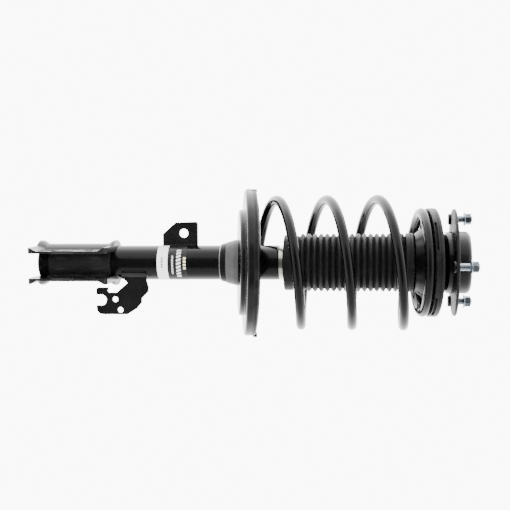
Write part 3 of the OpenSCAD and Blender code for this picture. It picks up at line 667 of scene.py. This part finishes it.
def make_boot():
    """Bellows with pointed folds, a stepped cuff below and a bead above."""
    low, high = corners("dust_boot")
    bottom, top = low.z / MM, high.z / MM
    pitch, folds, root, depth, fullness = 8.8, 17, 36.9, 5.1, 0.16
    start = top - 12 - folds * pitch
    wall, bore = 1.6, 38.4
    outside = arc(38.8, bottom + 1.2, 1.2, -90, 0, 3) + arc(38.8, bottom + 10.8, 1.2, 0, 90, 3)
    outside += [(36.9, bottom + 12.3), (36.1, bottom + 13.4), (36, bottom + 15)]
    outside += [(36, start - 5.5), (36.8, start - 4.4), (38.6, start - 3.6), (39, start - 2.6),
                (38.0, start - 1.2)]
    fold_steps = 10
    for i in range(folds):
        for k in range(fold_steps):
            t = k / fold_steps
            ridge = 1 - abs(2 * t - 1)
            crest = ridge + fullness * math.sin(math.pi * ridge)
            outside.append((root + depth * min(1.0, crest), start + (i + t) * pitch))
    outside += [(root, top - 12), (39.5, top - 11.3)] + arc(40.8, top - 9.9, 1.2, -90, 0, 3)
    outside += [(42, top - 4.5), (41.5, top - 4), (41.5, top - 3), (42, top - 2.5)]
    outside += arc(41.0, top - 1.0, 1.0, 0, 90, 3)
    inside = [(min(r - wall, bore), z) for r, z in reversed(outside)]
    verts, faces = lathe(outside + inside, 144)
    ob = piece("dust_boot_bellows", verts, faces, BOOT_RUBBER, "upper_seat",
               ["dust_boot"], flat_angle=60)
    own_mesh(ob)


make_boot()


# ---- damper tube and its welds ----------------------------------------------------------------

TUBE_R = 25.0


def make_tube():
    """Reservoir tube: rounded closing roll at the bottom, crimp over the cap at the top."""
    bottom, top = heights("damper_tube")
    inner, lip, roll, stretch = TUBE_R - 1.8, TUBE_R - 3.0, 3.0, 12
    count = int((top - bottom - 14) / stretch)
    outside = arc(TUBE_R - roll, bottom + roll, roll, -80, 0, 8)
    outside += [(TUBE_R, bottom + 9 + stretch * i) for i in range(count)]
    outside += [(TUBE_R, top - 3.0), (TUBE_R - 0.15, top - 1.2), (TUBE_R - 0.5, top - 0.3),
                (TUBE_R - 0.9, top)]
    inside = [(inner, top), (inner, bottom + roll), (lip, bottom + 0.9), (lip, bottom + 0.05)]
    verts, faces = lathe(outside + inside, 128)
    piece("reservoir_tube", verts, faces, PAINT, "strut_body", ["damper_tube"],
          flat_angle=50)


make_tube()


def on_tube(angle, z, gap):
    """A point at an angle in degrees and a height, a little off the tube's surface."""
    a = math.radians(angle)
    return ((TUBE_R + gap) * math.cos(a), (TUBE_R + gap) * math.sin(a), z)


def make_welds():
    """Beads where the tab, the hose bracket, the collar and the clevis meet the tube."""
    low, high = heights("stabilizer_tab")
    for name, angle in (("tab_weld_low", 173.4), ("tab_weld_high", 186.6)):
        bead(name, [on_tube(angle, z, 0.3) for z in range(int(low) + 3, int(high) - 2, 2)], 1.7)
    bead("hose_bracket_weld", [on_tube(-63.2, z, 0.4) for z in range(-477, -444, 2)], 1.4)
    bead("hose_bracket_weld_end", [on_tube(a, -442.4, 0.3) for a in range(-60, -42, 3)], 1.4)
    low, _ = heights("seat_collar")
    bead("collar_weld", [on_tube(a, low - 0.2, 0.3) for a in range(20, 161, 4)], 1.5)
    _, high = heights("knuckle_bracket")
    bead("clevis_weld_high", [on_tube(a, high + 0.3, 0.6) for a in range(15, 166, 4)], 1.8)


make_welds()


# ---- studs and nuts ---------------------------------------------------------------------------

STUD_CIRCLE = 69.0
STUD_ANGLES = [-89.5, 30.5, 150.5]
NUT_TURNS = [17.0, 41.0, 8.0]
STUD_R = 5.0
THREAD_PITCH, THREAD_DEPTH = 1.25, 0.62


def at_stud(parts, angle, spin=0.0):
    """Points and faces made about Z, moved to a stud's place and turned about its axis."""
    verts, faces = parts
    turn = (Matrix.Rotation(math.radians(angle), 4, "Z")
            @ Matrix.Translation((STUD_CIRCLE * MM, 0, 0))
            @ Matrix.Rotation(math.radians(spin), 4, "Z"))
    return [turn @ Vector(v) for v in verts], faces


def stud_parts():
    """One stud: domed head, collar in the plate, shank, and a cut thread at the end."""
    head_low, tip = heights("mount_studs")
    under, collar_r, thread_start, thread_end = -4.0, 5.49, 12.9, tip - 1.1
    outside = [(0.01, head_low + 0.05)] + arc(6.8, head_low + 1.2, 1.2, -90, 0, 4)
    outside += [(8, under - 0.4), (7.7, under), (collar_r, under), (collar_r, 0.0), (STUD_R, 0.25),
                (STUD_R, 12.6)]
    rows_per_turn = 8
    levels = int((thread_end - thread_start) / THREAD_PITCH * rows_per_turn)
    profile = outside + [(STUD_R, thread_start + i * THREAD_PITCH / rows_per_turn)
                         for i in range(levels + 1)]
    first, last = len(outside), len(profile) - 1
    profile += [(4.3, thread_end + 0.35), (3.6, tip), (0.01, tip)]

    def thread(i, a, r, z):
        if not first <= i <= last:
            return r, z
        phase = ((z - thread_start) / THREAD_PITCH - a / (2 * math.pi)) % 1.0
        cut = max(0.0, 1 - abs(phase - 0.5) * 2.3)
        fade = min(1.0, (i - first) / 6.0)
        return r - 0.12 - THREAD_DEPTH * cut * fade, z

    return lathe(profile, 48, shape=thread)


def nut_parts():
    """One flange nut: chamfered hexagon on a coned flange with a rounded rim."""
    bottom, top = heights("stud_nuts")
    flange, across, corner, bore, chamfer = 10.0, 14.0, 7.95, 4.95, 0.62
    levels = [("hole", bottom + 0.6), ("hole_edge", bottom), ("rim_low", bottom),
              ("rim", bottom + 0.35), ("rim", bottom + 1.15), ("rim_high", bottom + 1.5),
              ("cone", bottom + 2.35), ("foot", bottom + 2.6), ("hex", bottom + 2.9), ("hex", top),
              ("crown", top), ("mouth", top), ("hole", top - 0.7)]

    def shape(i, a, r, z):
        sector = (a + math.pi / 6) % (math.pi / 3) - math.pi / 6
        hexagon = min(across / 2 / math.cos(sector), corner)
        kind = levels[i][0]
        if kind == "hex":
            if z >= top - 0.01:
                return hexagon, top - 0.15 - max(0.0, hexagon - 6.75) * chamfer
            return hexagon, z
        return {"hole": bore, "hole_edge": bore + 0.5, "rim_low": flange - 0.5, "rim": flange,
                "rim_high": flange - 0.4, "cone": 8.35, "foot": min(hexagon + 0.25, 8.2),
                "crown": 6.7, "mouth": bore + 0.6}[kind], z

    return lathe([(1, z) for _, z in levels], 96, shape=shape)


def second_finish(ob, material, chosen):
    """Gives another material to the faces whose centre, in metres, is chosen."""
    ob.data.materials.append(material)
    index = len(ob.data.materials) - 1
    for face in ob.data.polygons:
        if chosen(face.center):
            face.material_index = index


def make_studs():
    """The three studs, with painted heads, and their nuts, whose darker hexagons are painted shade.
    """
    stud, nut = stud_parts(), nut_parts()
    verts, faces = join([at_stud(stud, a) for a in STUD_ANGLES])
    studs = piece("threaded_studs", verts, faces, ZINC, "top_mount", ["mount_studs"],
                  flat_angle=35)
    second_finish(studs, PAINT, lambda at: at.z < -3.9 * MM)
    verts, faces = join([at_stud(nut, a, spin) for a, spin in zip(STUD_ANGLES, NUT_TURNS)])
    nuts = piece("flange_nuts", verts, faces, ZINC, "top_mount", ["stud_nuts"],
                 flat_angle=28)
    hexagon_z = corners("stud_nuts")[0].z + 2.7 * MM
    # The hexagons get the darker zinc as painted shade.
    second_finish(nuts, NUT_ZINC_PAINTED_SHADE, lambda at: at.z > hexagon_z)


make_studs()


# ---- seats and rubber rings -------------------------------------------------------------------

LOWER_PLACE = tilt(LOWER_TILT, LOWER_LEAN, LOWER_SEAT_Z)
UPPER_PLACE = tilt(UPPER_TILT, 0, UPPER_SEAT_Z)


def on_the_tube(angle, z):
    """Distance from the seat's own axis, at an angle and height in its frame, at which a point
    lies on the tube's surface."""
    near, far = 20.0, 30.0
    for _ in range(24):
        r = (near + far) / 2
        p = LOWER_PLACE @ Vector((r * math.cos(angle), r * math.sin(angle), z))
        if math.hypot(p.x, p.y) < TUBE_R + 0.1:
            near = r
        else:
            far = r
    return r


def make_lower_seat():
    """Pressed seat: pan with a rounded corner, flat flange and a rolled rim with a cut edge."""
    profile = [(TUBE_R, -11), (72.6, -11)] + arc(73.2, -7.2, 3.8, -84, -4, 7)
    profile += [(77, -4.9), (77.5, -3.7), (78.6, -3.05), (80.2, -3.0), (101.6, -3.0)]
    profile += arc(102.2, 0.8, 3.8, -86, 0, 8) + [(106, 6.3), (105.8, 6.8), (105.3, 7), (103.7, 7)]
    profile += [(103.2, 6.8), (103, 6.3), (103, 1.5), (101.5, 0), (78, 0), (74.5, -2.5)]
    profile += [(74, -6.5), (72.5, -8), (TUBE_R, -8)]
    last = len(profile) - 1

    def shape(i, a, r, z):
        return (on_the_tube(a, z), z) if i in (0, last) else (r, z)

    verts, faces = lathe(profile, 360, LOWER_PLACE, shape)
    piece("lower_seat_pressing", verts, faces, RIM, "strut_body",
          ["lower_spring_seat"], flat_angle=50)


def make_collar():
    """Tapered collar: thin bright lip on the tube, dark chamfer, then a cone painted lighter grey
    as a painted highlight, up to painted shadow under the pan, whose plane leans with the seat."""
    bottom, _ = heights("seat_collar")
    bore, cone_r, top_r = 25.06, 30.2, 33.4
    on_axis = [(bore, 0), (26.1, 0), (26.5, 0.3), (26.9, 1.5), (27.2, 1.9), (29.4, 9.5),
               (29.9, 10.1), (cone_r, 10.7), (33.2, 22)]
    # Height of the dark band under the pan, which keeps the dark paint as painted shadow.
    gap = 2.2
    under_pan = [(33.2, gap), (top_r, 0), (bore, 0)]
    normal = (LOWER_PLACE.to_3x3() @ Vector((0, 0, 1))).normalized()
    under = LOWER_PLACE @ Vector((0, 0, -10.9))

    def pan_height(x, y):
        return under.z - (normal.x * (x - under.x) + normal.y * (y - under.y)) / normal.z

    def shape(i, a, r, z):
        if i < len(on_axis):
            return r, bottom + z
        return r, pan_height(r * math.cos(a), r * math.sin(a)) - z

    verts, faces = lathe(on_axis + under_pan, 144, shape=shape)
    collar = piece("seat_collar_cone", verts, faces, FUNNEL, "strut_body",
                   ["seat_collar"], flat_angle=12)

    # Faces of the cone that get the lighter grey painted highlight, all but the band under the pan.
    def on_painted_highlight(at):
        x, y, z = at / MM
        return math.hypot(x, y) > cone_r - 0.25 and pan_height(x, y) - z > gap * 0.7

    def on_lip(at):
        return 26.2 < math.hypot(at.x, at.y) / MM < 27.0

    second_finish(collar, CONE_PAINTED_HIGHLIGHT, on_painted_highlight)
    second_finish(collar, BARE_EDGE, on_lip)


def make_lower_rubber():
    """Ring under the spring: channel for the wire, smooth outer wall and a rounded lip."""
    outer, channel, pan = 105.7, 101.4, 102.9
    profile = [(79, 0), (101.3, 0), (pan, 1.7), (pan, 7.1), (outer, 7.1), (outer, 7.6)]
    profile += [(outer, 9.3), (outer - 0.35, 9.6), (outer - 0.35, 10.1), (outer, 10.4)]
    profile += [(outer, 11.6), (outer - 0.6, 12.7), (outer - 1.8, 13.4), (channel + 1.0, 13.5)]
    profile += [(channel + 0.2, 13.1), (channel - 0.1, 12.0), (channel - 1, 6)]
    profile += [(97.2, LOWER_RUBBER), (85, LOWER_RUBBER), (81.8, 5), (80.6, 5.2), (79.6, 4.9)]
    profile += [(79, 4)]
    verts, faces = lathe(profile, 360, LOWER_PLACE)
    piece("lower_rubber_ring", verts, faces, RUBBER, "strut_body", ["lower_insulator"])


def rounded_box(low, high, corner):
    """Outline of a rectangle between two corners, with its own corners rounded."""
    return (arc(high[0] - corner, low[1] + corner, corner, -90, 0, 3)
            + arc(high[0] - corner, high[1] - corner, corner, 0, 90, 3)
            + arc(low[0] + corner, high[1] - corner, corner, 90, 180, 3)
            + arc(low[0] + corner, low[1] + corner, corner, 180, 270, 3))


def shrunk(section, share):
    """An outline drawn in about the middle of its box."""
    middle = [(min(p[k] for p in section) + max(p[k] for p in section)) / 2 for k in (0, 1)]
    return [[middle[k] + (p[k] - middle[k]) * share for k in (0, 1)] for p in section]


def rim_block(name, low, high, start, end):
    """A rounded rubber block on the lower seat's rim, bent round the seat's axis: its section
    between two (radius, height) corners, and its first and last angle in degrees."""
    section = rounded_box(low, high, 0.8)
    steps = max(4, int((end - start) / 1.5))
    stations = [(start, 0.80), (start + 0.25, 0.93)]
    stations += [(start + 0.6 + (end - start - 1.2) * i / steps, 1.0) for i in range(steps + 1)]
    stations += [(end - 0.25, 0.93), (end, 0.80)]
    verts = []
    for angle, share in stations:
        a = math.radians(angle)
        for r, z in shrunk(section, share):
            verts.append((LOWER_PLACE @ Vector((r * math.cos(a), r * math.sin(a), z))) * MM)
    piece(name, verts, strips(len(stations), len(section)), RUBBER, "strut_body")


def ear_pad(name, low, high):
    """A straight bar along Z with rounded long edges, between two corners in millimetres."""
    corner = 0.6
    section = rounded_box(low, high, corner)
    levels = [(low[2], 0.86), (low[2] + corner, 1.0), (high[2] - corner, 1.0), (high[2], 0.86)]
    verts = [Vector((x, y, z)) * MM for z, share in levels for x, y in shrunk(section, share)]
    piece(name, verts, strips(len(levels), len(section)), PAD, "strut_body")


def make_ear_pads():
    """Thickened stretch on the front edge of each ear of the clevis."""
    front = corners("knuckle_bracket")[0].y / MM
    inner, outer, bottom, top = 17.5, 21.6, -569.5, -537.4
    ear_pad("ear_pad_upper", (-outer, front - 0.5, bottom), (-inner, front + 0.8, top))
    ear_pad("ear_pad_lower", (inner, front - 0.5, bottom), (outer, front + 0.8, top))


SLOTS = [(-123.5, 16.5), (-38.6, 16.6), (20, 15), (68, 15), (116, 15), (165, 14)]
SLOT_DEPTH = 3.0


def make_upper_rubber():
    """Ring over the upper seat's rim: lip below, slotted outer wall with painted shade in the
    slots, and a rounded shoulder. A slot is the angle of its middle and half its length, in
    degrees."""
    outer = 77.3
    below = [(54.9, -5.1), (63, -5.1), (65.5, -2.5), (75.6, -2.5), (76.7, -2.3), (outer, -1.7)]
    wall = [(outer, -1.2), (outer, -1.1), (outer, 0.6), (outer, 2.3), (outer, 2.4)]
    above = [(outer, 4.2), (outer - 0.5, 4.5), (outer - 0.5, 5.0), (outer, 5.3), (outer, 6.5)]
    above += [(outer, 8.0), (outer - 0.6, 9.3), (outer - 2, 10), (72.0, 10), (70.4, 9.6)]
    above += [(70.4, 7.3), (73.8, 7.3), (73.8, -0.3), (58, -0.3), (54.9, -2.9)]
    slotted = range(len(below) + 1, len(below) + len(wall) - 1)

    def shape(i, a, r, z):
        if i in slotted:
            for centre, half in SLOTS:
                away = abs((math.degrees(a) - centre + 180) % 360 - 180)
                if away < half:
                    return r - SLOT_DEPTH * min(1.0, (half - away) / 0.8), z
        return r, z

    verts, faces = lathe(below + wall + above, 480, UPPER_PLACE, shape)
    ring = piece("upper_rubber_ring", verts, faces, RUBBER, "upper_seat",
                 ["upper_insulator"])
    back = UPPER_PLACE.inverted()

    def in_shaded_slot(at):
        x, y, z = back @ (at / MM)
        return outer - 3.4 < math.hypot(x, y) < outer - 1.6 and -1.3 < z < 2.5

    # The slot floors get the near-black painted shade.
    second_finish(ring, SLOT_PAINTED_SHADE, in_shaded_slot)


make_lower_seat()
make_collar()
make_lower_rubber()
make_upper_rubber()
make_ear_pads()
rim_block("rim_lug_near", (102.4, 10.6), (108.4, 16.4), -5.9, 6.9)
rim_block("rim_lug_far", (102.4, 7.3), (106.6, 14.4), 174.1, 185.9)
rim_block("rim_clip", (103.2, -1.0), (106.6, 7.6), 181.0, 187.5)


# ---- stage and light --------------------------------------------------------------------------

BACKDROP = 10.0                               # how bright the floor and the studio look
STUDIO = 5.0                                  # strength of what gloss reflects
FILL = 4.0                                    # strength of the light on matt surfaces
# What gloss reflects, from behind the strut (0) to the camera's side (1).
STUDIO_LEVELS = [(0.0, 1.0), (1.0, 0.02), (0.30, 0.70), (0.50, 0.36), (0.70, 0.22), (0.87, 0.16),
                 (0.945, 0.03)]


def make_floor():
    """Plain pale floor that the strut's lower end stands on. Reflections look through it to the
    studio, as if the strut hung free."""
    size = 3.0
    z = cad_low.z - 0.5 * MM
    mesh = bpy.data.meshes.new("floor")
    square = [(-size, -size, z), (size, -size, z), (size, size, z), (-size, size, z)]
    mesh.from_pydata(square, [], [(0, 1, 2, 3)])
    material = bpy.data.materials.new("floor")
    material.use_nodes = True
    tree = material.node_tree
    shader = tree.nodes["Principled BSDF"]
    shader.inputs["Base Color"].default_value = rgb(0.8, 0.8, 0.8)
    shader.inputs["Roughness"].default_value = 0.9
    glow = add(tree, "Emission", {"Color": rgb(1, 1, 1), "Strength": BACKDROP})
    seen = add(tree, "LightPath").outputs["Is Camera Ray"]
    clear = add(tree, "BsdfTransparent")
    mirrored = add(tree, "LightPath").outputs["Is Glossy Ray"]
    under = add(tree, "MixShader", {0: mirrored, 1: shader.outputs[0], 2: clear.outputs[0]})
    both = add(tree, "MixShader", {0: seen, 1: under.outputs[0], 2: glow.outputs[0]})
    tree.links.new(both.outputs[0], tree.nodes["Material Output"].inputs["Surface"])
    mesh.materials.append(material)
    ob = bpy.data.objects.new("floor", mesh)
    bpy.context.collection.objects.link(ob)


def make_world():
    """A studio that is bright at the sides and behind and dark on the camera's side, as the
    reflections show it, with even light on matt surfaces and plain white to look at."""
    world = bpy.data.worlds.new("studio")
    bpy.context.scene.world = world
    world.use_nodes = True
    tree = world.node_tree
    tree.nodes.clear()
    direction = add(tree, "TexCoord").outputs["Generated"]   # the world's own axes
    parts = add(tree, "SeparateXYZ", {0: direction}).outputs
    towards = add(tree, "Math", {0: parts["Y"], 1: -0.5, 2: 0.5},
                  operation="MULTIPLY_ADD").outputs[0]
    ramp = add(tree, "ValToRGB", {"Fac": towards})
    ramp.color_ramp.interpolation = "EASE"
    stops = ramp.color_ramp.elements
    for (at, level), existing in zip(STUDIO_LEVELS, (stops[0], stops[1])):
        existing.position = at
        existing.color = rgb(level, level, level)
    for at, level in STUDIO_LEVELS[2:]:
        stops.new(at).color = rgb(level, level, level)
    # stronger from -X, which is up in the picture
    overhead = add(tree, "MapRange", {"Value": parts["X"], "From Min": -1.0, "From Max": 1.0,
                                      "To Min": STUDIO * 1.3, "To Max": STUDIO * 0.75}).outputs[0]
    studio = add(tree, "Background", {"Color": ramp.outputs[0], "Strength": overhead})
    fill = add(tree, "Background", {"Color": rgb(1, 1, 1), "Strength": FILL})
    white = add(tree, "Background", {"Color": rgb(1, 1, 1), "Strength": BACKDROP})
    path = add(tree, "LightPath").outputs
    lit = add(tree, "MixShader", {0: path["Is Diffuse Ray"], 1: studio.outputs[0],
                                  2: fill.outputs[0]})
    both = add(tree, "MixShader", {0: path["Is Camera Ray"], 1: lit.outputs[0],
                                   2: white.outputs[0]})
    out = add(tree, "OutputWorld")
    tree.links.new(both.outputs[0], out.inputs["Surface"])


make_floor()
make_world()
